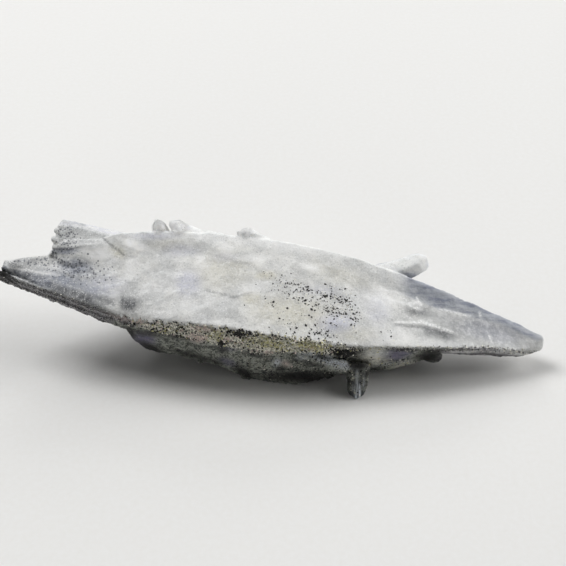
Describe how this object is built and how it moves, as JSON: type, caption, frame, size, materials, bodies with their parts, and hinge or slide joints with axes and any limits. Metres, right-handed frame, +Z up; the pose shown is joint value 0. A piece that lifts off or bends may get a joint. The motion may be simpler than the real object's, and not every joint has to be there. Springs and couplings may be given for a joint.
{
  "type": "quartz cluster",
  "caption": "Lying quartz cluster: a long flat milky crystal tapered to both ends, with a dark rough underside and small points grown on it.",
  "frame": {"origin": "centre of the bounding box, on the level the cluster rests on", "axes": "+X along the cluster to its low tip, +Y away from its broad face to its hidden side, +Z up"},
  "size_m": [0.1124, 0.0348, 0.0266],
  "materials": {
    "quartz": "milky to clear quartz with growth lines, a grey-green crusted underside and black specks"
  },
  "bodies": {
    "root": {"quartz_cluster": "quartz"}
  },
  "joints": []
}
